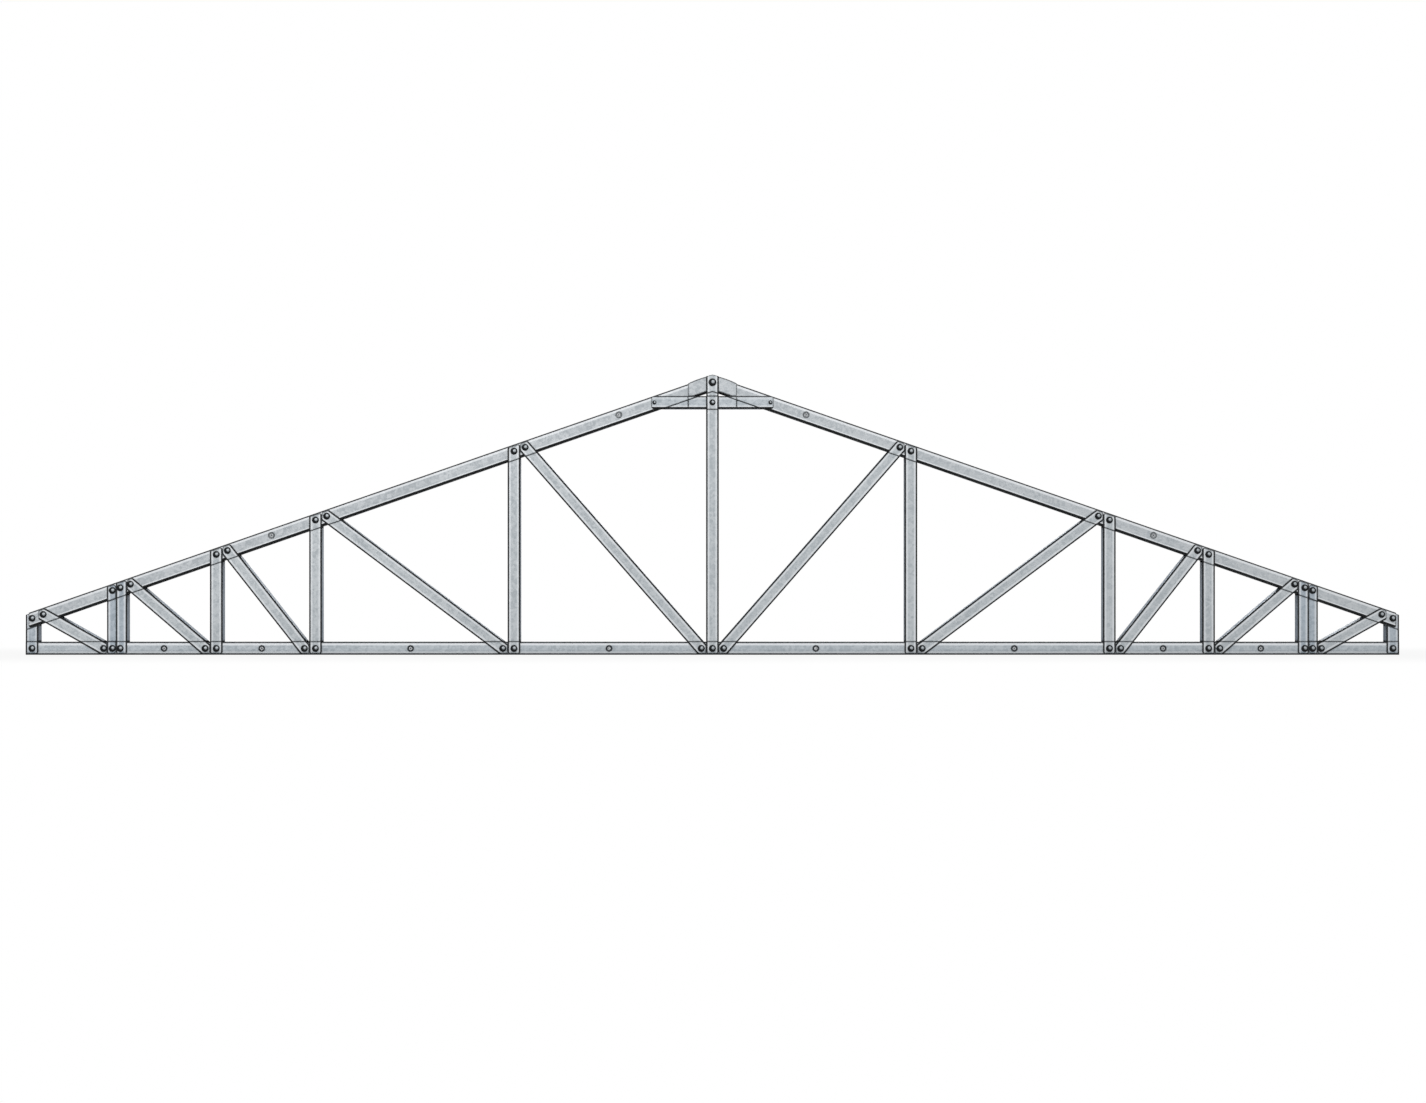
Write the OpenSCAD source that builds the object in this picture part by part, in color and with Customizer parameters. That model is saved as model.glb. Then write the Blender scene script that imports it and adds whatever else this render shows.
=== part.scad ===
// Light gauge steel roof truss, flat-bottomed and double-pitched, built from
// cold-formed galvanised C sections that lap and are riveted at every joint.
// +X runs along the truss, -Y is the front, +Z is up, z = 0 is its underside.

/* [Truss] */
// Length of the bottom chord, heel to heel
span = 4800; // [4000:10:5760]
// Slope of the top chords in degrees
pitch = 19.13; // [16:0.01:23]
// Height of the roof line over the heel ends
heel_h = 143.2; // [130:0.2:172]
// Distance from the heel end to the middle of the bearing posts
overhang = 319.2; // [270:0.1:380]
// Distance that the top chord stops short of the heel end
chord_back = 11; // [8:1:14]

/* [Section] */
// Depth of the C section through the truss
web_d = 89; // [74:1:107]
// Width of the flanges
flange_w = 44.5; // [41:0.5:48]
// Width of the top chords' flanges
top_flange_w = 50.5; // [48:0.5:56]
// Depth of the lips
lip_d = 11; // [8:1:14]
// Thickness of the sheet
sheet_t = 1.15; // [0.9:0.05:1.4]
// Inside radius of the bends
bend_r = 2.2; // [1:0.1:2.6]

/* [Lapped joints] */
// Clearance between lapped sheets
lap_gap = 0.15; // [0.1:0.05:0.3]
// Length of the ramp that steps a flange onto the next layer
joggle_l = 3; // [2:0.5:5]
// Clearance between the ramp and the edge that it steps over
edge_gap = 0.6; // [0.4:0.1:1.5]
// Distance that a lapping tab ends short of the chord's back
tab_back = 5; // [3:0.5:7]
// Corner radius of the lapping tabs
tab_r = 7; // [3:1:9]
// Amount that a tab is narrower than its flange, at each edge
tab_in = 0.5; // [0.3:0.1:1]
// Clearance between neighbouring tabs
tab_gap = 1; // [0.5:0.1:2]
// Distance of a diagonal's rivet from the middle of the post beside it
fix_side = 39; // [36:1:44]

/* [Bearing posts] */
// Width of the pair of nested bearing posts
bearing_w = 70.6; // [66:0.2:76]
// Width of the inner bearing post's flanges
bearing_in_w = 39; // [36:0.5:42]
// Distance of the outer post's rivets from the middle of the pair
bearing_fix_out = 16.5; // [15:0.5:19]
// Distance of the inner post's rivets from the middle of the pair
bearing_fix_in = 11; // [9:0.5:13]
// Distance of a diagonal's rivet from the edge of the pair
bearing_fix_side = 11.5; // [11:0.5:16]

/* [Ridge] */
// Gap between the mitred top chords
mitre_gap = 1; // [0.6:0.2:3]
// Height of the ridge above the top edge of the collar tie
collar_drop = 71.6; // [67:0.2:80]
// Length of the collar tie
collar_l = 425.6; // [400:0.2:460]
// Length of the saddle over the ridge
saddle_l = 169.2; // [150:0.2:190]
// Rise of each half of the saddle over a straight line
saddle_rise = 3; // [2:0.2:5]
// Distance of the upper king post rivet below the ridge
king_fix_drop = 23.5; // [21:0.5:28]
// Width of the lines pressed into the king post and the collar tie
crease_w = 2; // [1:0.2:3]
// Depth of those lines
crease_d = 0.4; // [0.2:0.05:0.6]

/* [Rivets] */
// Radius of a rivet's domed head
head_r = 12; // [10:0.5:12.5]
// Radius of the larger head at the ridge
ridge_head_r = 13.5; // [12:0.5:15]
// Radius of the head where the king post crosses the collar tie
king_head_r = 10.5; // [9:0.5:12]
// Radius of the small heads at the ends of the collar tie
collar_head_r = 7; // [6:0.5:8]
// Height of a rivet's domed head
head_h = 4.2; // [3:0.2:6]
// Radius of a rivet's shank
shank_r = 4.8; // [4:0.2:6]
// Radius of the formed tail inside the section
tail_r = 7.5; // [6.5:0.5:9]
// Height of the formed tail
tail_h = 2.4; // [2:0.2:4]
// Radial clearance of the shank in its holes
hole_gap = 0.2; // [0.1:0.05:0.4]

/* [Service holes] */
// Radius of the screw holes in the middle of the panels
service_r = 2.1; // [1.6:0.1:2.6]
// Radius of the pressed dimple round each hole
dimple_r = 11; // [10:0.5:12]
// Depth of the pressed dimple
dimple_d = 2.2; // [1.6:0.1:2.6]
// Width of the dimple's sloping wall
dimple_slope = 5; // [4:0.5:6]
// Distance of the bottom holes from mid-panel, towards the king post
service_in = 5; // [0:1:10]

/* [Hidden] */
$fn = 32;
bend_steps = 4;
slope = tan(pitch);
half_w = flange_w / 2;
half_span = span / 2;
ridge_h = heel_h + slope * half_span;
outer_r = bend_r + sheet_t;
// Distances from each chord's back to the ends of the ramp of a lapping flange
ramp_start = flange_w + edge_gap;
ramp_end = ramp_start + joggle_l;
top_ramp_start = top_flange_w + edge_gap;
top_ramp_end = top_ramp_start + joggle_l;
// Far enough to clear the whole truss in a cut
clear = 400;

panel = (half_span - overhang) / 6;
end_x = half_span - half_w;
bearing_x = 6 * panel;
bearing_out = bearing_x + bearing_w / 2;
bearing_in = bearing_x - bearing_w / 2;
post_x = [5 * panel, 4 * panel, 2 * panel];
chord_end = half_span - chord_back;
collar_z = ridge_h - collar_drop - half_w;
dimple_bottom = dimple_r - dimple_slope;
// Each diagonal: edge and rivet beside its foot, edge and rivet beside its head
diagonals = [
    [bearing_out, bearing_out + bearing_fix_side, end_x - half_w, end_x - fix_side],
    [post_x[0] + half_w, post_x[0] + fix_side, bearing_in, bearing_in - bearing_fix_side],
    [post_x[1] + half_w, post_x[1] + fix_side, post_x[0] - half_w, post_x[0] - fix_side],
    [post_x[2] + half_w, post_x[2] + fix_side, post_x[1] - half_w, post_x[1] - fix_side],
    [half_w, fix_side, post_x[2] - half_w, post_x[2] - fix_side],
];
bearing_fixes = [bearing_x + bearing_fix_out, bearing_x - bearing_fix_in];

// Height of the roof line, of the line a distance d inside it, and of the rivet line
function roof_z(x) = ridge_h - slope * abs(x);
function inside_z(x, d) = roof_z(x) - d / cos(pitch);
function fix_z(x) = inside_z(x, half_w);
// Outer face of a layer of sheet: 0 is the chords' flanges, 1 laps them, 2 laps that
function face_y(layer) = web_d / 2 + layer * (sheet_t + lap_gap);

// A rivet's shank and tail keep their proportion to its head
function shank(head) = shank_r * head / head_r;
function tail(head) = tail_r * head / head_r;

// Rivets of one half: distance from the middle, height
low_fixes = [for (x = concat([end_x], bearing_fixes, post_x, [for (d = diagonals) d[1]])) [x, half_w]];
high_fixes = [for (x = concat(bearing_fixes, post_x, [for (d = diagonals) d[3]])) [x, fix_z(x)]];
end_fix = [end_x, fix_z(end_x)];
king_foot = [0, half_w];
king_collar_fix = [0, collar_z];
king_ridge_fix = [0, ridge_h - king_fix_drop];
// The collar tie's own rivets are where its middle line crosses the chords'
collar_fix = [(fix_z(0) - collar_z) / slope, collar_z];

// Service holes of one half, midway between the rivets on either side
function middle(a, b) = (a + b) / 2;
low_service = [for (x = [
    middle(bearing_fixes[1], diagonals[1][1]),
    middle(post_x[0], diagonals[2][1]),
    middle(post_x[1], diagonals[3][1]),
    middle(post_x[2], diagonals[4][1]),
]) [x - service_in, half_w]];
high_service = [for (x = [
    middle(diagonals[2][3], post_x[1]),
    middle(diagonals[4][3], 0),
]) [x, fix_z(x)]];

// ---- outlines ----

function arc(centre, r, from, to) = [
    for (i = [0:bend_steps])
        let (a = from + (to - from) * i / bend_steps) centre + r * [cos(a), sin(a)]
];

function unit(v) = v / norm(v);

// Arc that rounds the corner b between a and c, in an anticlockwise outline
function corner(a, b, c, r) =
    let (
        back = unit(a - b),
        on = unit(c - b),
        half = acos(back * on) / 2,
        centre = b + unit(back + on) * r / sin(half),
        spoke = b + back * r / tan(half) - centre,
        from = atan2(spoke.y, spoke.x)
    )
    r > 0 ? arc(centre, r, from, from + 180 - 2 * half) : [b];

// Anticlockwise outline with each corner rounded to its own radius
function rounded(points, radii) = [
    for (i = [0:len(points) - 1])
        let (n = len(points))
        each corner(points[(i + n - 1) % n], points[i], points[(i + 1) % n], radii[i])
];

// Where the line through p along u meets the line through q along v
function meet(p, u, q, v) =
    p + u * ((q.x - p.x) * v.y - (q.y - p.y) * v.x) / (u.x * v.y - u.y * v.x);

// C section with its back on the x axis; a lip of 0 leaves a plain channel
module section(depth, flange, lip) {
    h = depth / 2;
    outer_foot = concat(
        arc([h - outer_r, outer_r], outer_r, 0, -90),
        arc([outer_r - h, outer_r], outer_r, -90, -180)
    );
    inner_foot = concat(
        arc([outer_r - h, outer_r], bend_r, 180, 270),
        arc([h - outer_r, outer_r], bend_r, -90, 0)
    );
    lipped = concat(
        [[h - lip, flange]],
        arc([h - outer_r, flange - outer_r], outer_r, 90, 0),
        outer_foot,
        arc([outer_r - h, flange - outer_r], outer_r, 180, 90),
        [[lip - h, flange], [lip - h, flange - sheet_t]],
        arc([outer_r - h, flange - outer_r], bend_r, 90, 180),
        inner_foot,
        arc([h - outer_r, flange - outer_r], bend_r, 0, 90),
        [[h - lip, flange - sheet_t]]
    );
    plain = concat(
        [[h, flange]], outer_foot, [[-h, flange], [sheet_t - h, flange]],
        inner_foot, [[h - sheet_t, flange]]
    );
    polygon(lip > 0 ? lipped : plain);
}

// ---- building blocks ----

// Section run from a point on its middle line, at an angle above +X
module bar(start, angle, length, depth, flange = flange_w, lip = lip_d)
    translate([start.x, 0, start.y]) rotate([0, -angle, 0]) translate([0, 0, -flange / 2])
        rotate([90, 0, 90]) linear_extrude(length) section(depth, flange, lip);

// Side view outline, extruded through the truss
module slab(points, depth = clear)
    rotate([90, 0, 0]) linear_extrude(depth, center = true) polygon(points);

module bores(points, r)
    for (p = points) translate([p.x, 0, p.y]) rotate([90, 0, 0]) cylinder(r = r, h = clear, center = true);

// Holes for the shanks of rivets with heads of a radius
module rivet_holes(points, head = head_r) bores(points, shank(head) + hole_gap);

module mirrored(side) mirror([side < 0 ? 1 : 0, 0, 0]) children();

// Space that the bodies of the web members fill, clear of both chords
module between_chords()
    slab([
        [-panel, ramp_end], [half_span + 1, ramp_end],
        [half_span + 1, inside_z(half_span + 1, top_ramp_end)],
        [0, inside_z(0, top_ramp_end)], [-panel, inside_z(panel, top_ramp_end)],
    ]);

// Both flanges of a member stepping from one layer to another past a chord's edge;
// the chord's back is on the XY plane and the member comes from +Z
module lap(from_layer, to_layer, start = ramp_start, end = ramp_end, past = 0) {
    far = face_y(from_layer);
    near = face_y(to_layer);
    steps = [
        [near, -past], [near, start], [far, end], [far, end + tab_in],
        [far - sheet_t, end + tab_in], [far - sheet_t, end], [near - sheet_t, start], [near - sheet_t, -past],
    ];
    for (s = [-1, 1])
        rotate([90, 0, 90]) linear_extrude(3 * half_span, center = true)
            polygon([for (p = steps) [s * p.x, p.y]]);
}

module low_lap(from_layer, to_layer) lap(from_layer, to_layer);

module high_lap(from_layer, to_layer, past = 0, further = 0)
    translate([0, 0, ridge_h]) rotate([0, pitch, 0]) mirror([0, 0, 1])
        lap(from_layer, to_layer, top_ramp_start + further, top_ramp_end + further, past);

// Line pressed into both faces of a layer, from a to b in the side view
module crease(a, b, layer)
    for (s = [-1, 1])
        translate([a.x, s * face_y(layer), a.y]) rotate([0, -atan2(b.y - a.y, b.x - a.x), 0])
            rotate([90, 0, 90]) linear_extrude(norm(b - a))
                polygon([
                    [0, -crease_w / 2], [s, -crease_w / 2], [s, crease_w / 2], [0, crease_w / 2],
                    [-s * crease_d, 0],
                ]);

// ---- chords ----

// A dimple is pressed inwards round each service hole of a flange: this is its metal
module dimple_backs(points)
    for (p = points, s = [-1, 1])
        translate([p.x, s * face_y(0), p.y]) rotate([90 * s, 0, 0]) rotate_extrude()
            polygon([
                [0, sheet_t / 2], [dimple_r, sheet_t / 2], [dimple_r, sheet_t],
                [dimple_bottom, dimple_d + sheet_t], [0, dimple_d + sheet_t],
            ]);

// The dimple's hollow, with the hole through its bottom
module dimple_hollows(points)
    for (p = points, s = [-1, 1])
        translate([p.x, s * face_y(0), p.y]) rotate([90 * s, 0, 0]) rotate_extrude()
            polygon([
                [0, -1], [dimple_r, -1], [dimple_r, 0], [dimple_bottom, dimple_d], [service_r, dimple_d],
                [service_r, dimple_d + sheet_t + 1], [0, dimple_d + sheet_t + 1],
            ]);

module bottom_chord() {
    halves = concat(low_service, [for (p = low_service) [-p.x, p.y]]);
    fixes = concat([king_foot], low_fixes, [for (p = low_fixes) [-p.x, p.y]]);
    color("lightsteelblue") difference() {
        union() {
            bar([-half_span, half_w], 0, span, web_d);
            dimple_backs(halves);
        }
        dimple_hollows(halves);
        rivet_holes(fixes);
    }
}

// The top chord's section, run down the roof line from the ridge with its back up
module rafter(lip)
    translate([0, 0, ridge_h]) rotate([0, pitch, 0]) translate([-half_w, 0, 0]) mirror([0, 0, 1])
        rotate([90, 0, 90]) linear_extrude(half_span / cos(pitch) + flange_w)
            section(web_d, top_flange_w, lip);

// The right-hand chord; its lips stop short of the end post, whose head goes inside it
module top_chord() {
    cope = end_x - half_w - tab_gap;
    ends = rounded(
        [
            [mitre_gap / 2, inside_z(0, top_flange_w) - 2],
            [mitre_gap / 2 + 1, inside_z(mitre_gap / 2 + 1, top_flange_w + 0.05)],
            [chord_end, inside_z(chord_end, top_flange_w + 0.05)], [chord_end, roof_z(chord_end) + 1],
            [mitre_gap / 2, ridge_h + 1],
        ],
        [0, 0, tab_r, 0, 0]
    );
    color("lightsteelblue") difference() {
        union() {
            intersection() {
                rafter(lip_d);
                slab(ends);
                slab([[0, 0], [cope, 0], [cope, ridge_h + 1], [0, ridge_h + 1]]);
            }
            intersection() {
                rafter(0);
                slab(ends);
                slab([[cope, 0], [half_span, 0], [half_span, ridge_h], [cope, ridge_h]]);
            }
            dimple_backs(high_service);
        }
        dimple_hollows(high_service);
        rivet_holes(concat([end_fix], high_fixes));
        rivet_holes([king_ridge_fix], ridge_head_r);
        rivet_holes([collar_fix], collar_head_r);
    }
}

// ---- posts ----

// Side view of a post with lapping tabs at both ends, from x = a to x = b
function post_outline(a, b) = rounded(
    [[a, tab_back], [b, tab_back], [b, inside_z(b, tab_back)], [a, inside_z(a, tab_back)]],
    [tab_r, tab_r, tab_r / 2, tab_r]
);

// Flanges that lap both chords, trimmed to a side view outline
module tabs(outline, layer = 0)
    for (face = [0, 1])
        intersection() {
            if (face == 0) low_lap(layer, 1); else high_lap(layer, 1);
            slab(outline);
        }

// The back faces the king post
module post(x) {
    color("lightsteelblue") difference() {
        union() {
            intersection() {
                bar([x, ridge_h], -90, ridge_h, web_d);
                between_chords();
            }
            tabs(post_outline(x - half_w + tab_in, x + half_w - tab_in));
        }
        rivet_holes([[x, half_w], [x, fix_z(x)]]);
    }
}

// Closes the heel; its head steps inside the top chord, under the bend
module end_post() {
    near = end_x - half_w + tab_in;
    far = half_span - tab_in;
    head_back = outer_r + lap_gap;
    head = rounded(
        [[near, half_w], [far, half_w], [far, inside_z(far, head_back)], [near, inside_z(near, head_back)]],
        [0, 0, tab_r / 2, tab_r / 2]
    );
    color("lightsteelblue") difference() {
        union() {
            intersection() {
                bar([end_x, ridge_h], -90, ridge_h, web_d);
                between_chords();
            }
            intersection() {
                low_lap(0, 1);
                slab(post_outline(near, far));
            }
            intersection() {
                high_lap(0, -1);
                slab(head);
            }
        }
        rivet_holes([[end_x, half_w], end_fix]);
    }
}

// Outer half of the box over the bearing; it nests inside the inner half
module bearing_post_outer() {
    x = bearing_out - half_w;
    color("lightsteelblue") difference() {
        union() {
            intersection() {
                bar([x, 0], 90, ridge_h, 2 * face_y(-1));
                between_chords();
            }
            tabs(post_outline(bearing_in + bearing_in_w + tab_gap, bearing_out - tab_in), -1);
        }
        rivet_holes([[bearing_fixes[0], half_w], [bearing_fixes[0], fix_z(bearing_fixes[0])]]);
    }
}

module bearing_post_inner() {
    x = bearing_in + bearing_in_w / 2;
    color("lightsteelblue") difference() {
        union() {
            intersection() {
                bar([x, ridge_h], -90, ridge_h, web_d, bearing_in_w, 0);
                between_chords();
            }
            tabs(post_outline(bearing_in + tab_in, bearing_in + bearing_in_w - tab_in));
        }
        rivet_holes([[bearing_fixes[1], half_w], [bearing_fixes[1], fix_z(bearing_fixes[1])]]);
    }
}

// ---- diagonals ----

// Runs from its foot, beside one post, up to its head, beside the next; its back is up
module diagonal(d) {
    foot = [d[1], half_w];
    head = [d[3], fix_z(d[3])];
    along = unit(head - foot);
    across = [-along.y, along.x] * (half_w - tab_in);
    roof = [cos(pitch), -sin(pitch)];
    foot_x = d[0] + tab_gap;
    head_x = d[2] - tab_gap;
    low = [0, tab_back];
    high = [0, inside_z(0, tab_back)];
    outline = rounded(
        [
            [foot_x, tab_back],
            meet(foot - across, along, low, [1, 0]),
            meet(foot - across, along, [head_x, 0], [0, 1]),
            [head_x, inside_z(head_x, tab_back)],
            meet(foot + across, along, high, roof),
            meet(foot + across, along, [foot_x, 0], [0, 1]),
        ],
        [tab_r / 2, tab_r, tab_r / 2, tab_r / 2, tab_r, tab_r / 2]
    );
    color("lightsteelblue") difference() {
        union() {
            intersection() {
                bar(
                    head + along * flange_w, atan2(-along.y, -along.x),
                    norm(head - foot) + 2 * flange_w, web_d
                );
                between_chords();
            }
            tabs(outline);
        }
        rivet_holes([foot, head]);
    }
}

// ---- ridge ----

// The head steps out over the collar tie, then over the saddle, and ends in a low gable;
// the last step clears the chords' edges and the saddle's, whichever is lower
module king_post() {
    start = collar_z - half_w - edge_gap;
    side = half_w - tab_in;
    eaves = ridge_h - 2 * sheet_t;
    top = ridge_h + 3 * sheet_t;
    outline = rounded(
        [[-side, tab_back], [side, tab_back], [side, eaves], [0, top], [-side, eaves]],
        [tab_r, tab_r, 0, 0, 0]
    );
    color("lightsteelblue") difference() {
        union() {
            intersection() {
                bar([0, 0], 90, start - joggle_l, web_d);
                between_chords();
            }
            intersection() {
                low_lap(0, 1);
                slab(outline);
            }
            intersection() {
                translate([0, 0, ridge_h]) mirror([0, 0, 1])
                    lap(0, 1, ridge_h - start, ridge_h - start + joggle_l);
                slab(outline);
                between_chords();
            }
            for (s = [-1, 1])
                mirrored(s) intersection() {
                    high_lap(1, 2, flange_w, max(0, flange_w - top_flange_w));
                    slab(outline);
                    slab([[0, start], [flange_w, start], [flange_w, top + 1], [0, top + 1]]);
                }
        }
        crease([-half_w, collar_z + half_w], [half_w, collar_z + half_w], 1);
        rivet_holes([king_foot]);
        rivet_holes([king_collar_fix], king_head_r);
        rivet_holes([king_ridge_fix], ridge_head_r);
    }
}

// Its ends lap both top chords; its back is down
module collar_tie() {
    side = collar_l / 2;
    low = collar_z - half_w + tab_in;
    high = collar_z + half_w - tab_in;
    shoulder = (inside_z(0, tab_gap) - high) / slope;
    mark = saddle_l / 2;
    ends = rounded(
        [[0, low], [side, low], [side, inside_z(side, tab_gap)], [shoulder, high], [0, high]],
        [0, tab_r, 0, 0, 0]
    );
    color("lightsteelblue") difference() {
        union() {
            intersection() {
                bar([-side, collar_z], 0, collar_l, web_d);
                between_chords();
            }
            for (s = [-1, 1])
                mirrored(s) intersection() {
                    high_lap(0, 1);
                    slab(ends);
                }
        }
        for (s = [-1, 1])
            crease([s * mark, low + tab_r], [s * mark, high], 0);
        rivet_holes([king_collar_fix], king_head_r);
        for (s = [-1, 1])
            mirrored(s) rivet_holes([collar_fix], collar_head_r);
    }
}

// Plate folded down over both chords; each half is bowed a little between ridge and end
module ridge_saddle() {
    side = saddle_l / 2;
    ridge = [0, ridge_h + lap_gap + sheet_t];
    eaves = [side, roof_z(side) + 2 * sheet_t];
    across = unit([ridge.y - eaves.y, side]);
    arch_r = norm(eaves - ridge) ^ 2 / (8 * saddle_rise) + saddle_rise / 2;
    centre = (ridge + eaves) / 2 - across * (arch_r - saddle_rise);
    low = collar_z + half_w + edge_gap;
    knee = (inside_z(0, flange_w) - low) / slope;
    depth = 2 * face_y(1);
    color("lightsteelblue") difference() {
        for (s = [-1, 1])
            mirrored(s) intersection() {
                translate([centre.x, 0, centre.y]) rotate([90, 0, 0]) rotate_extrude($fn = 180)
                    rotate([0, 0, 90]) translate([0, -arch_r]) section(depth, arch_r - 2, 0);
                slab([
                    [0, inside_z(0, flange_w)], [min(knee, side - 1), low], [side, low],
                    [side, ridge_h], [0, ridge_h + flange_w],
                ]);
            }
        rivet_holes([king_ridge_fix], ridge_head_r);
    }
}

// ---- rivets ----

// Domed head outside, shank through the layers, formed tail inside
module rivet(point, seat, inner, radius = head_r) {
    grip = face_y(seat) - face_y(inner) + sheet_t + 2 * lap_gap;
    height = head_h * radius / head_r;
    dome = height * 2 / 3;
    dome_r = (radius * radius + dome * dome) / (2 * dome);
    dome_a = asin(radius / dome_r);
    crown = [
        for (i = [0:bend_steps])
            let (a = dome_a * (1 - i / bend_steps)) [dome_r * sin(a), height - dome_r + dome_r * cos(a)]
    ];
    body = [
        [0, -grip - tail_h], [tail(radius), -grip - tail_h], [tail(radius), -grip],
        [shank(radius), -grip], [shank(radius), 0], [radius, 0],
    ];
    translate([point.x, -face_y(seat) - lap_gap, point.y]) rotate([90, 0, 0]) rotate_extrude()
        polygon(concat(body, crown));
}

module rivets() {
    color("slategray") {
        for (s = [-1, 1])
            mirrored(s) {
                for (p = concat(low_fixes, high_fixes)) rivet(p, 1, 0);
                rivet(end_fix, 0, -1);
                rivet(collar_fix, 1, 0, collar_head_r);
            }
        rivet(king_foot, 1, 0);
        rivet(king_collar_fix, 1, 0, king_head_r);
        rivet(king_ridge_fix, 2, 0, ridge_head_r);
    }
}

bottom_chord();
mirrored(-1) top_chord();  // top_chord_left
top_chord();  // top_chord_right
king_post();
collar_tie();
ridge_saddle();
mirrored(-1) end_post();  // end_post_left
end_post();  // end_post_right
mirrored(-1) bearing_post_outer();  // bearing_post_outer_left
bearing_post_outer();  // bearing_post_outer_right
mirrored(-1) bearing_post_inner();  // bearing_post_inner_left
bearing_post_inner();  // bearing_post_inner_right
mirrored(-1) post(post_x[0]);  // post_1_left
mirrored(-1) post(post_x[1]);  // post_2_left
mirrored(-1) post(post_x[2]);  // post_3_left
post(post_x[0]);  // post_1_right
post(post_x[1]);  // post_2_right
post(post_x[2]);  // post_3_right
mirrored(-1) diagonal(diagonals[0]);  // diagonal_1_left
mirrored(-1) diagonal(diagonals[1]);  // diagonal_2_left
mirrored(-1) diagonal(diagonals[2]);  // diagonal_3_left
mirrored(-1) diagonal(diagonals[3]);  // diagonal_4_left
mirrored(-1) diagonal(diagonals[4]);  // diagonal_5_left
diagonal(diagonals[0]);  // diagonal_1_right
diagonal(diagonals[1]);  // diagonal_2_right
diagonal(diagonals[2]);  // diagonal_3_right
diagonal(diagonals[3]);  // diagonal_4_right
diagonal(diagonals[4]);  // diagonal_5_right
rivets();  // rivets_front
mirror([0, 1, 0]) rivets();  // rivets_back
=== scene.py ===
import math
import bpy
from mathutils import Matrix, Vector


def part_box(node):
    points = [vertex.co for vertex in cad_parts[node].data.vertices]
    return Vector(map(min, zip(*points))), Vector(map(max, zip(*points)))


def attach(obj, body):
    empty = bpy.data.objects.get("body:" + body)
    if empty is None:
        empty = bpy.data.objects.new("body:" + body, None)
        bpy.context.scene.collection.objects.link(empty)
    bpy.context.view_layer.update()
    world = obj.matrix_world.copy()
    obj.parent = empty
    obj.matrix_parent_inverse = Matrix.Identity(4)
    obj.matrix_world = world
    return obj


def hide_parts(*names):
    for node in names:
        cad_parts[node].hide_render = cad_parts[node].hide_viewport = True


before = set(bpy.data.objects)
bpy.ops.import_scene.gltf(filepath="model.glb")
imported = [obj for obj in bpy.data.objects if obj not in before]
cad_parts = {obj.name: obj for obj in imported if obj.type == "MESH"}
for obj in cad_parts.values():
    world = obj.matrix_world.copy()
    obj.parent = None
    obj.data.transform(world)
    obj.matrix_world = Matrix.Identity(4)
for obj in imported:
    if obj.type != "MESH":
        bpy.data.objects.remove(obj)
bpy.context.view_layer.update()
mm = 0.001
print("frame loaded:", len(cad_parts), "nodes")


def linear(red, green, blue):
    # 0-255 display values to the linear colour a socket wants
    def channel(value):
        value /= 255
        return value / 12.92 if value <= 0.04045 else ((value + 0.055) / 1.055) ** 2.4
    return (channel(red), channel(green), channel(blue), 1.0)


class Value:
    # one socket of a shader; an expression on it adds the Math nodes it needs
    def __init__(self, shader, socket):
        self.shader, self.socket = shader, socket

    def maths(self, operation, *values):
        return self.shader.add("ShaderNodeMath", {"operation": operation}, values)

    def __add__(self, other):
        return self.maths("ADD", self, other)

    def __sub__(self, other):
        return self.maths("SUBTRACT", self, other)

    def __rsub__(self, other):
        return self.maths("SUBTRACT", other, self)

    def __mul__(self, other):
        return self.maths("MULTIPLY", self, other)

    def __abs__(self):
        return self.maths("ABSOLUTE", self)

    __radd__ = __add__
    __rmul__ = __mul__

    def larger(self, other):
        return self.maths("MAXIMUM", self, other)

    def above(self, other):
        return self.maths("GREATER_THAN", self, other)


class Shader:
    # the nodes of one material or world
    def __init__(self, owner):
        self.owner = owner
        owner.use_nodes = True
        self.tree = owner.node_tree
        self.tree.nodes.clear()

    def add(self, kind, settings=None, values=(), output=0):
        # settings go on the node first, then each value or link on its socket
        node = self.tree.nodes.new(kind)
        for key, setting in (settings or {}).items():
            setattr(node, key, setting)
        pairs = values.items() if isinstance(values, dict) else enumerate(values)
        for key, value in pairs:
            if isinstance(value, Value):
                self.tree.links.new(value.socket, node.inputs[key])
            else:
                node.inputs[key].default_value = value
        return Value(self, node.outputs[output]) if node.outputs else node

    def fade(self, value, full, none):
        # 1 up to full, falling smoothly to 0 at none
        return self.add("ShaderNodeMapRange", {"interpolation_type": "SMOOTHSTEP"}, {
            "Value": value, "From Min": full, "From Max": none, "To Min": 1.0, "To Max": 0.0})

    def blend(self, amount, under, over, how="MIX"):
        return self.add("ShaderNodeMix", {"data_type": "RGBA", "blend_type": how},
                        {0: amount, 6: under, 7: over}, output=2)

    def dot(self, place, direction):
        return self.add("ShaderNodeVectorMath", {"operation": "DOT_PRODUCT"},
                        [place, direction], output="Value")

    def noise(self, place, scale, detail, roughness=0.55):
        return self.add("ShaderNodeTexNoise", {}, {
            "Vector": place, "Scale": scale, "Detail": detail, "Roughness": roughness})

    def cellTone(self, place, scale):
        cells = self.add("ShaderNodeTexVoronoi", {}, {"Vector": place, "Scale": scale},
                         output="Color")
        return self.add("ShaderNodeSeparateColor", {}, [cells])

    def crowding(self, samples, reach):
        # 0 in the open, towards 1 where other sheet stands within reach
        return 1 - self.add("ShaderNodeAmbientOcclusion", {"samples": samples},
                            {"Distance": reach}, output="AO")

    def finish(self, surface, kind="ShaderNodeOutputMaterial"):
        self.add(kind, {}, {"Surface": surface})
        return self.owner


def corners(node):
    return [vertex.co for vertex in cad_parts[node].data.vertices]


lieLook = {
    "edgesRead": 12,         # longest edges that are compared
    "inFace": 0.01 * mm,     # depth that an edge may cross and still lie in a face
    "level": 0.001,
}


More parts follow.
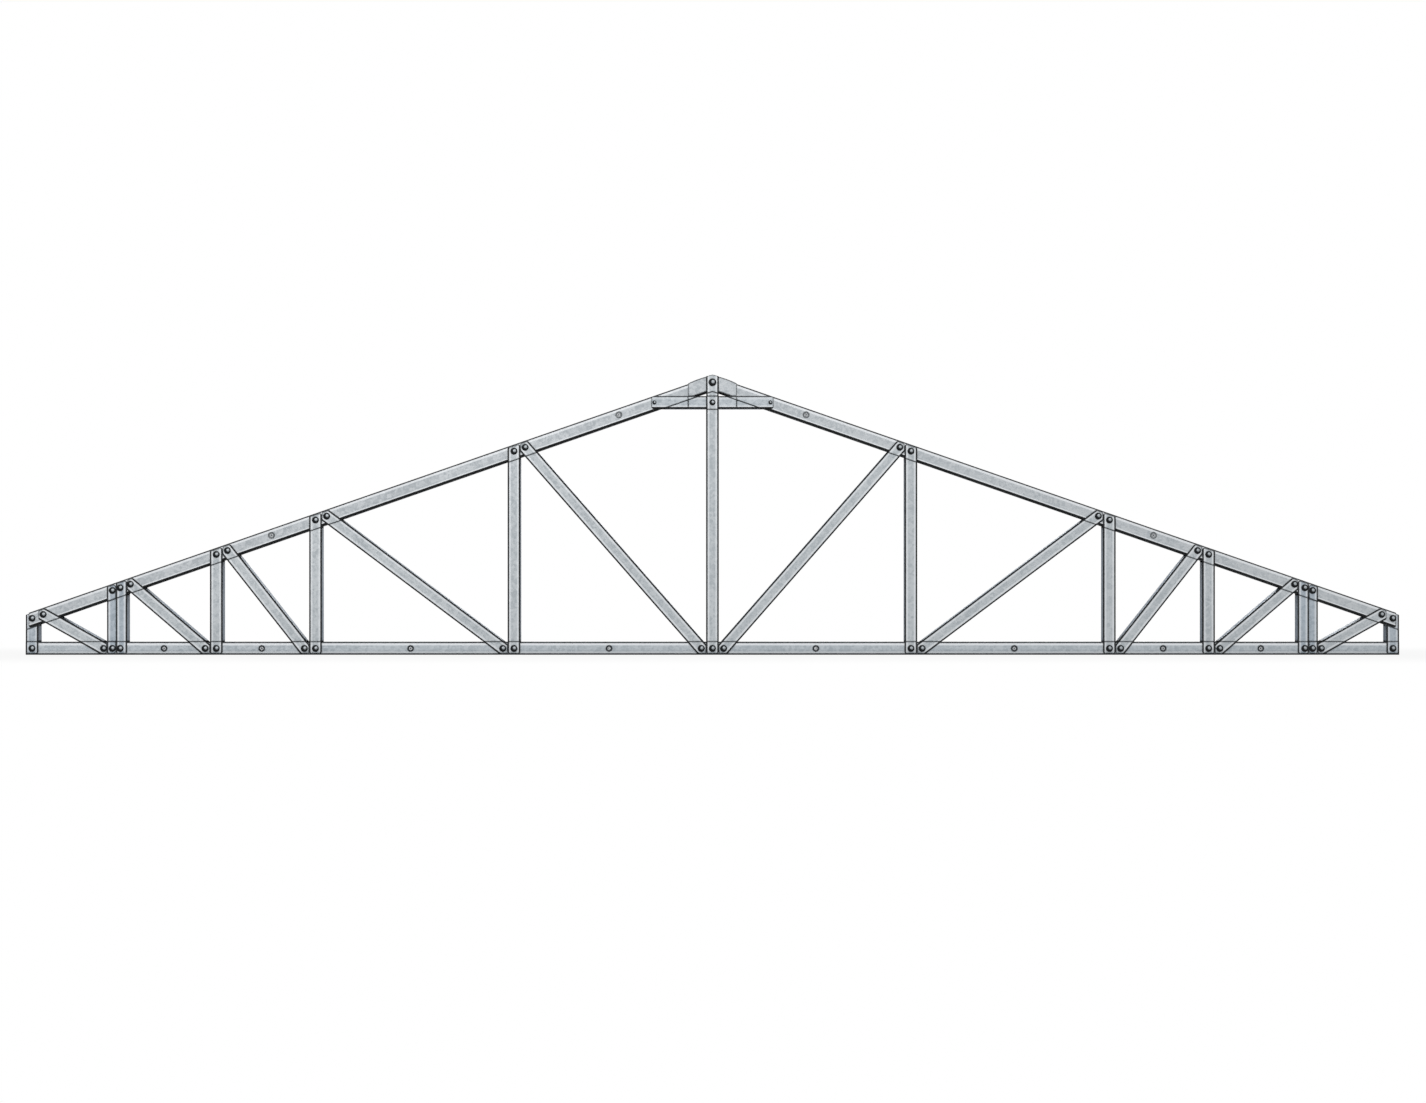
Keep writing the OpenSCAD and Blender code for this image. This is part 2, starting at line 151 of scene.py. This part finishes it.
def lieOf(node):
    # of the longest edges that lie in a face, the one that the section runs narrowest beside
    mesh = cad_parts[node].data
    ends = [[mesh.vertices[index].co for index in edge.vertices] for edge in mesh.edges]
    steps = sorted((b - a for a, b in ends if abs(b.y - a.y) < lieLook["inFace"]),
                   key=lambda step: -step.length)
    lies = []
    for step in steps[:lieLook["edgesRead"]]:
        run = Vector((step.x, 0, step.z)).normalized()
        if run.z < -lieLook["level"] or (abs(run.z) < lieLook["level"] and run.x < 0):
            run = -run
        over = Vector((-run.z, 0, run.x))
        if over.z < -lieLook["level"]:
            over = -over
        reach = [over.dot(co) for co in corners(node)]
        lies.append({"run": run, "over": over, "middle": (max(reach) + min(reach)) / 2,
                     "half": (max(reach) - min(reach)) / 2})
    return min(lies, key=lambda lie: round(lie["half"], 5))


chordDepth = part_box("bottom_chord")[1].y

# a pair gives where a fade is full and where it ends
sheetLook = {
    "zinc": linear(180, 185, 189),
    "zincPale": linear(200, 204, 207),
    "zincDull": linear(158, 165, 170),
    "zincEven": 0.35,               # share of the plain zinc over its pale and dull parts
    # the sheen and the floor tone below are painted highlight, the four between them painted
    # shade; the sheen also lightens handling marks
    "sheen": linear(236, 239, 242),
    "foldShade": linear(26, 31, 35),
    "underShade": linear(6, 8, 10),
    "recessShadeTone": linear(50, 64, 76),
    "backShadeTone": linear(70, 90, 110),
    "floorTone": linear(246, 248, 250),
    "faceDepth": (1.6 * mm, 3 * mm),    # depths behind the chords' outer faces
    "bendDepth": (3.6 * mm, 5 * mm),
    "dimpleDepth": 2.2 * mm,
    "floorDepth": (0.3 * mm, 0.6 * mm),
    "floorFacing": (0.99, 0.96),
    "lineSoftness": 1.8 * mm,
    "sheenBeside": (9.5 * mm, 13.5 * mm),
    "edgeReach": 4.6 * mm,
    "edgeTurn": (0.010, 0.001),
    "edgeShade": 0.9,
    "slopeFacing": 0.64,            # how squarely a step or a dimple's side faces front
    "slopeSpread": (0.32, 0.35),
    "backFacing": (0.2, 0.6),
    "recessReach": 45 * mm,
    "recessCrowding": (0.62, 0.2),
    "recessShade": 0.8,
    "touchReach": 8 * mm,           # how near another sheet or a rivet shades this one
    "touchCrowding": (0.32, 0.12),
    "touchShade": 0.8,
    "spangle": 95.0,                # cells per metre
    "finerSpangle": 2.7,
    "stirScale": 60.0,
    "stirReach": (0.006, 0.006, 0.006),
    "streakStretch": (3.0, 260.0, 60.0),    # along, across and through the member
    "scuffStretch": (16.0, 420.0, 90.0),
    "cloudScale": 7.0,
    "toneSpread": (0.98, 0.4),
    "scuffSpread": (0.70, 0.64),
    "scuffShade": 0.22,
    "metallic": 0.35,
    "specular": 0.25,
    "roughness": 0.42,
    "roughCells": 0.12,             # what each of these adds to the roughness
    "roughClouds": 0.18,
    "roughEdge": 0.12,
    "roughDull": 0.3,
    "roughBack": 0.14,
    "smoothBack": 0.85,             # share of the grain that the section's back loses
    "bump": {"Strength": 0.18, "Distance": 0.25 * mm},
}


def galvanised(name, lie, trim):
    look = sheetLook
    s = Shader(bpy.data.materials.new(name))
    place = s.add("ShaderNodeTexCoord", output="Object")
    y = abs(s.add("ShaderNodeSeparateXYZ", {}, [place], output="Y"))
    across = s.dot(place, lie["over"]) - lie["middle"]
    run = s.dot(place, lie["run"])

    # painted shade along the member's own long folds, from the lie of its section
    beside = lie["half"] - abs(across)
    depth = chordDepth - y
    overSide = across.above(0.0)
    underSide = 1 - overSide

    def foldLine(width, side, shade):
        return s.fade(beside, width, width + look["lineSoftness"]) * side * shade

    foldLines = (foldLine(trim["overLine"], overSide, trim["overShade"])
                 + foldLine(trim["underLine"], underSide, trim["underShade"]))
    foldLines = foldLines * s.fade(depth, *look["bendDepth"])

    # how far the sheet turns within reach of each spot, and its sloping steps and dimples
    rounded = s.add("ShaderNodeBevel", {"samples": 8}, {"Radius": look["edgeReach"]})
    flat = s.add("ShaderNodeNewGeometry", {}, output="True Normal")
    edge = s.fade(1 - s.dot(rounded, flat), *look["edgeTurn"])
    facing = abs(s.dot(flat, (0, 1, 0)))
    sloping = s.fade(abs(facing - look["slopeFacing"]), *look["slopeSpread"]) * trim["slopeShade"]
    onBack = s.fade(facing, *look["backFacing"])

    # zinc spangle, rolling streaks and handling marks
    def drawnOut(stretch):
        along, sideways, through = stretch
        return s.add("ShaderNodeCombineXYZ", {}, [
            run * along + trim["seed"], across * sideways, y * through])

    stir = s.add("ShaderNodeTexNoise", {}, {"Vector": place, "Scale": look["stirScale"]},
                 output="Color")
    warped = s.add("ShaderNodeVectorMath", {"operation": "MULTIPLY_ADD"},
                   [stir, look["stirReach"], place])
    cells = s.cellTone(warped, look["spangle"])
    finer = s.cellTone(warped, look["spangle"] * look["finerSpangle"])
    streaks = s.noise(drawnOut(look["streakStretch"]), 1.0, 4.0, 0.6)
    clouds = s.noise(place, look["cloudScale"], 3.0)
    tone = cells * 0.34 + finer * 0.2 + streaks * 0.34 + clouds * 0.46
    zinc = s.blend(s.fade(tone, *look["toneSpread"]), look["zincPale"], look["zincDull"])
    zinc = s.blend(look["zincEven"], zinc, look["zinc"])
    scuffs = s.fade(s.noise(drawnOut(look["scuffStretch"]), 1.0, 2.0, 0.5), *look["scuffSpread"])
    zinc = s.blend(scuffs * look["scuffShade"], zinc, look["sheen"])
    zinc = s.blend(1.0, zinc, trim["tint"], "MULTIPLY")

    # the face's painted highlight between its folds, then painted shade on the back and in
    # recesses
    sheen = s.fade(beside, *look["sheenBeside"]) * s.fade(depth, *look["faceDepth"])
    sheen = sheen * (overSide * trim["overSheen"] + underSide * trim["underSheen"])
    zinc = s.blend(sheen, zinc, look["sheen"])
    zinc = s.blend(onBack * trim["backShade"], zinc, look["backShadeTone"])
    hidden = s.fade(s.crowding(8, look["recessReach"]), *look["recessCrowding"])
    zinc = s.blend(hidden * look["recessShade"], zinc, look["recessShadeTone"])

    # painted highlight on the floor of each dimple, then painted shade on its sides, along the
    # folds and at the laps
    floor = (s.fade(abs(depth - look["dimpleDepth"]), *look["floorDepth"])
             * s.fade(facing, *look["floorFacing"]))
    zinc = s.blend(floor * trim["floorSheen"], zinc, look["floorTone"])
    zinc = s.blend((edge * look["edgeShade"]).larger(sloping), zinc, look["foldShade"])
    # painted contact shadow where another sheet or a rivet stands near
    touch = s.fade(s.crowding(6, look["touchReach"]), *look["touchCrowding"])
    zinc = s.blend(foldLines.larger(touch * look["touchShade"]), zinc, look["underShade"])

    dull = foldLines.larger(sloping)
    roughness = (look["roughness"] + (cells - 0.5) * look["roughCells"]
                 + (clouds - 0.5) * look["roughClouds"] + edge * look["roughEdge"]
                 + dull * look["roughDull"] + onBack * look["roughBack"])
    grain = (cells * 0.5 + finer * 0.3 + streaks * 0.4) * (1 - onBack * look["smoothBack"])
    bump = s.add("ShaderNodeBump", {}, look["bump"] | {"Height": grain})
    return s.finish(s.add("ShaderNodeBsdfPrincipled", {}, {
        "Base Color": zinc, "Roughness": roughness, "Metallic": (1 - dull) * look["metallic"],
        "Normal": bump, "Specular IOR Level": look["specular"]}))


# each kind of member: width and depth of the painted shade along its upper and lower folds, its
# painted highlight beside them, the painted shade of its back and of its slopes, the painted
# highlight in its dimples, and its tint
trims = {
    "bottom_chord": {
        "overLine": 2.8 * mm, "overShade": 0.58, "overSheen": 0.75,
        "underLine": 4.4 * mm, "underShade": 0.95, "underSheen": 0.7,
        "backShade": 0.15, "slopeShade": 0.95, "floorSheen": 0.65, "tint": linear(250, 253, 255)},
    "top_chord": {
        "overLine": 3.6 * mm, "overShade": 0.84, "overSheen": 0.7,
        "underLine": 7.2 * mm, "underShade": 1.0, "underSheen": 0.75,
        "backShade": 0.15, "slopeShade": 0.35, "floorSheen": 0.45, "tint": linear(255, 255, 255)},
    "collar_tie": {
        "overLine": 3.0 * mm, "overShade": 0.7, "overSheen": 0.3,
        "underLine": 5.6 * mm, "underShade": 1.0, "underSheen": 0.5,
        "backShade": 0.85, "slopeShade": 0.95, "floorSheen": 0.0, "tint": linear(250, 253, 255)},
    "bearing_post": {
        "overLine": 4.4 * mm, "overShade": 0.9, "overSheen": 0.5,
        "underLine": 4.4 * mm, "underShade": 0.9, "underSheen": 0.5,
        "backShade": 0.85, "slopeShade": 0.7, "floorSheen": 0.0, "tint": linear(232, 239, 246)},
    "end_post": {
        "overLine": 4.6 * mm, "overShade": 0.95, "overSheen": 0.4,
        "underLine": 4.6 * mm, "underShade": 0.95, "underSheen": 0.4,
        "backShade": 0.95, "slopeShade": 0.7, "floorSheen": 0.0, "tint": linear(236, 242, 248)},
    "web": {
        "overLine": 4.6 * mm, "overShade": 0.95, "overSheen": 0.5,
        "underLine": 4.6 * mm, "underShade": 0.95, "underSheen": 0.5,
        "backShade": 0.85, "slopeShade": 0.7, "floorSheen": 0.0, "tint": linear(254, 255, 255)},
    "ridge_saddle": {
        "overLine": 0.0, "overShade": 0.0, "overSheen": 0.0,
        "underLine": 0.0, "underShade": 0.0, "underSheen": 0.0,
        "backShade": 0.3, "slopeShade": 0.95, "floorSheen": 0.0, "tint": linear(255, 255, 255)},
}
seedStep = 3.7    # moves each member's streaks away from the last one's


def dressSheet():
    for number, node in enumerate(sorted(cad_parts)):
        if node.startswith("rivets"):
            continue
        kind = next((kind for kind in trims if node.startswith(kind)), "web")
        trim = trims[kind] | {"seed": number * seedStep}
        made = galvanised("galvanised_" + node, lieOf(node), trim)
        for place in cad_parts[node].material_slots:
            place.material = made
    print("sheet dressed")


dressSheet()

rivetLook = {
    "steel": linear(48, 53, 57),
    "crownHighlight": linear(168, 174, 178),
    "rimShadeAndSpeckle": linear(12, 14, 16),
    "metallic": 0.4,
    "specular": 0.2,
    "roughness": 0.34,
    "roughSpread": 0.3,
    "bump": {"Strength": 0.2, "Distance": 0.2 * mm},
    "headHeight": 0.35,      # this and the next two are shares of the head's radius
    "flangeHeight": 0.105,
    "crown": 0.74,
    "crownSteps": 8,
    "crease": 0.3 * mm,      # gap between the dome's foot and the flange
    "creaseHeight": 0.9,
    # share of the radius, share of the flange's height, tone
    "rim": [(0.9, 1.0, 0.22), (0.975, 0.72, 0.12), (1.0, 0.3, 0.0), (0.985, 0.0, 0.0)],
    "glowSide": 0.2,         # where the dome's painted highlight lies, and its reach
    "glowUp": 0.16,
    "glowReach": 0.62,
    "glowFull": 1.15,
    "shank": 0.4,            # this and the next are shares of the head's radius
    "tail": 0.625,
    "tailStep": 0.4 * mm,
    "tailHeight": 2.4 * mm,
    # share of the tail's radius, share of its height, tone
    "tailEnd": [(0.9, 0.85, 0.6), (0.6, 1.0, 0.7), (0.0, 1.0, 0.7)],
    "turns": 36,
    "sharpAngle": 50,
}


def looseSolids(mesh):
    # vertices of each separate solid, joined by place because faces may not share them
    owner = list(range(len(mesh.vertices)))

    def root(index):
        while owner[index] != index:
            owner[index] = owner[owner[index]]
            index = owner[index]
        return index

    places = {}
    for vertex in mesh.vertices:
        key = tuple(round(c, 6) for c in vertex.co)
        owner[root(vertex.index)] = root(places.setdefault(key, vertex.index))
    for face in mesh.polygons:
        for index in face.vertices[1:]:
            owner[root(index)] = root(face.vertices[0])
    solids = {}
    for vertex in mesh.vertices:
        solids.setdefault(root(vertex.index), []).append(vertex.co)
    return list(solids.values())


def rivetProfile(radius, grip):
    # (distance from the axis, height over the seat, tone) from the crown to the tail
    look = rivetLook
    height, flange = radius * look["headHeight"], radius * look["flangeHeight"]
    crown, shank, tail = (radius * look[share] for share in ("crown", "shank", "tail"))
    points = [(0.0, height, 1.0)]
    for step in range(1, look["crownSteps"] + 1):
        angle = math.pi / 2 * step / look["crownSteps"]
        points.append((crown * math.sin(angle), flange + (height - flange) * math.cos(angle), 1.0))
    points.append((crown + look["crease"], flange * look["creaseHeight"], 0.0))
    points += [(radius * out, flange * up, tone) for out, up, tone in look["rim"]]
    points += [(shank, 0.0, 0.0), (shank, -grip, 0.2),
               (tail * 0.96, -grip, 0.2), (tail, -grip - look["tailStep"], 0.4)]
    points += [(tail * out, -grip - look["tailHeight"] * down, tone)
               for out, down, tone in look["tailEnd"]]
    return points


def rivetMaterial():
    look = rivetLook
    s = Shader(bpy.data.materials.new("zinc_rivet"))
    tone = s.add("ShaderNodeAttribute", {"attribute_name": "tone"}, output="Fac")
    place = s.add("ShaderNodeTexCoord", output="Object")
    speckle = s.noise(place, 420.0, 3.0)
    dull = s.noise(place, 60.0, 2.0)
    # painted highlight on the crown, painted shade on the rim and crease, then darker specks all
    # over
    metal = s.blend(s.fade(tone, 0.95, 0.45), look["steel"], look["crownHighlight"])
    metal = s.blend(s.fade(tone, 0.05, 0.55) * 0.92, metal, look["rimShadeAndSpeckle"])
    metal = s.blend(s.fade(speckle, 0.35, 0.6) * 0.25, metal, look["rimShadeAndSpeckle"])
    bump = s.add("ShaderNodeBump", {}, look["bump"] | {"Height": speckle})
    return s.finish(s.add("ShaderNodeBsdfPrincipled", {}, {
        "Base Color": metal, "Metallic": look["metallic"], "Normal": bump,
        "Specular IOR Level": look["specular"],
        "Roughness": look["roughness"] + (dull - 0.5) * look["roughSpread"]}))


def rivetShape(solid, points, faces, tones):
    # one rivet turned about its axis, added to the three lists
    look = rivetLook
    turns = look["turns"]
    low = Vector([min(co[i] for co in solid) for i in range(3)])
    high = Vector([max(co[i] for co in solid) for i in range(3)])
    radius = (high.x - low.x) / 2
    outwards = -1 if low.y + high.y < 0 else 1
    top, bottom = (low.y, high.y) if outwards < 0 else (high.y, low.y)
    seat = top - outwards * radius * look["headHeight"]
    grip = abs(bottom - seat) - look["tailHeight"]
    rows = []
    for away, height, tone in rivetProfile(radius, grip):
        row = []
        for turn in range(turns if away else 1):
            angle = 2 * math.pi * turn / turns
            right, up = away * math.cos(angle), away * math.sin(angle)
            row.append(len(points))
            points.append(((low.x + high.x) / 2 + right, seat + outwards * height,
                           (low.z + high.z) / 2 + up))
            # a painted highlight off the middle of each dome, kept in its tone
            glow = math.hypot(right / radius + outwards * look["glowSide"],
                              up / radius - look["glowUp"])
            paintedHighlight = look["glowFull"] - (glow / look["glowReach"]) ** 2
            tones.append(tone * max(0.0, min(1.0, paintedHighlight)))
        rows.append(row)
    for a, b in zip(rows, rows[1:]):
        for turn in range(turns):
            after = (turn + 1) % turns
            if len(a) == 1:
                face = [a[0], b[turn], b[after]]
            elif len(b) == 1:
                face = [a[turn], b[0], a[after]]
            else:
                face = [a[turn], b[turn], b[after], a[after]]
            faces.append(face if outwards > 0 else face[::-1])


def buildRivets(node, name, material):
    points, faces, tones = [], [], []
    for solid in looseSolids(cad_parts[node].data):
        rivetShape(solid, points, faces, tones)
    mesh = bpy.data.meshes.new(name)
    mesh.from_pydata(points, [], faces)
    mesh.attributes.new("tone", "FLOAT", "POINT").data.foreach_set("value", tones)
    mesh.materials.append(material)
    for face in mesh.polygons:
        face.use_smooth = True
    mesh.set_sharp_from_angle(angle=math.radians(rivetLook["sharpAngle"]))
    mesh.validate()
    piece = bpy.data.objects.new(name, mesh)
    bpy.context.scene.collection.objects.link(piece)
    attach(piece, "root")
    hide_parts(node)


rivetSteel = rivetMaterial()
buildRivets("rivets_front", "rivet_heads_front", rivetSteel)
buildRivets("rivets_back", "rivet_heads_back", rivetSteel)
print("rivets built")

studio = {
    "floorSide": 80.0,
    "floorDrop": 0.4 * mm,
    "floorTone": 0.7,
    "shadowShare": 0.1,
    "shadowReach": (0.35, 1.6),
    "worldLight": 0.3,
    "lampSize": (6.0, 3.0),
}
# each lamp stands behind the truss as written, and turned about before it
lamps = {
    "key": {"place": (-2.5, 11, 7.0), "aimHeight": 0.5, "watts": 442.0},
    "fill": {"place": (3.5, 12.5, 3.5), "aimHeight": 0.4, "watts": 280.0},
}
lens = {
    "away": 17.045,
    "side": 2.0 * mm,
    "height": 0.361,
    "sensor": 36.0,
    "focus": 17.0,           # distance at which the view is seenWidth across
    "seenWidth": 4.983,
    "farthest": 300.0,
}


def seenDirectly(s):
    ray, glossy, through = (s.add("ShaderNodeLightPath", output=f"Is {kind} Ray")
                            for kind in ("Camera", "Glossy", "Transmission"))
    return ray.larger(glossy).larger(through)


def buildFloor():
    side, drop = studio["floorSide"] / 2, -studio["floorDrop"]
    mesh = bpy.data.meshes.new("floor")
    mesh.from_pydata([(-side, -side, drop), (side, -side, drop),
                      (side, side, drop), (-side, side, drop)], [], [(0, 1, 2, 3)])
    floor = bpy.data.objects.new("floor", mesh)
    bpy.context.scene.collection.objects.link(floor)
    s = Shader(bpy.data.materials.new("floor_paper"))
    tone = studio["floorTone"]
    paper = s.add("ShaderNodeBsdfDiffuse", {}, {"Color": (tone, tone, tone, 1)})
    white = s.add("ShaderNodeEmission", {}, {"Color": (1, 1, 1, 1), "Strength": 1.0})
    place = s.add("ShaderNodeTexCoord", output="Object")
    near = s.fade(abs(s.add("ShaderNodeSeparateXYZ", {}, [place], output="Y")),
                  *studio["shadowReach"])
    share = seenDirectly(s) * (1 - near * studio["shadowShare"])
    mesh.materials.append(s.finish(s.add("ShaderNodeMixShader", {}, [share, paper, white])))


def buildWorld():
    s = Shader(bpy.data.worlds.new("studio_white"))
    strength = s.add("ShaderNodeMapRange", {}, {
        "Value": seenDirectly(s), "To Min": studio["worldLight"], "To Max": 1.0})
    bpy.context.scene.world = s.finish(
        s.add("ShaderNodeBackground", {}, {"Color": (1, 1, 1, 1), "Strength": strength}),
        "ShaderNodeOutputWorld")


def addLamp(name, place, aim, watts):
    lamp = bpy.data.lights.new(name, "AREA")
    lamp.shape = "RECTANGLE"
    lamp.size, lamp.size_y = studio["lampSize"]
    lamp.energy = watts
    stand = bpy.data.objects.new(name, lamp)
    stand.location = place
    stand.rotation_euler = (Vector(aim) - Vector(place)).to_track_quat("-Z", "Y").to_euler()
    bpy.context.scene.collection.objects.link(stand)


def addLamps():
    for side, sideName in ((-1, "front"), (1, "back")):
        for name, lamp in lamps.items():
            across, away, height = lamp["place"]
            addLamp(f"{sideName}_{name}", (across * side, away * side, height),
                    (0, 0, lamp["aimHeight"]), lamp["watts"])


def addCamera():
    data = bpy.data.cameras.new("camera")
    data.sensor_width = lens["sensor"]
    data.lens = lens["sensor"] * lens["focus"] / lens["seenWidth"]
    data.clip_end = lens["farthest"]
    camera = bpy.data.objects.new("camera", data)
    camera.location = (lens["side"], -lens["away"], lens["height"])
    camera.rotation_euler = (math.radians(90), 0, 0)
    bpy.context.scene.collection.objects.link(camera)
    bpy.context.scene.camera = camera


buildFloor()
buildWorld()
addLamps()
addCamera()
bpy.context.scene.view_settings.view_transform = "Standard"
print("studio set")
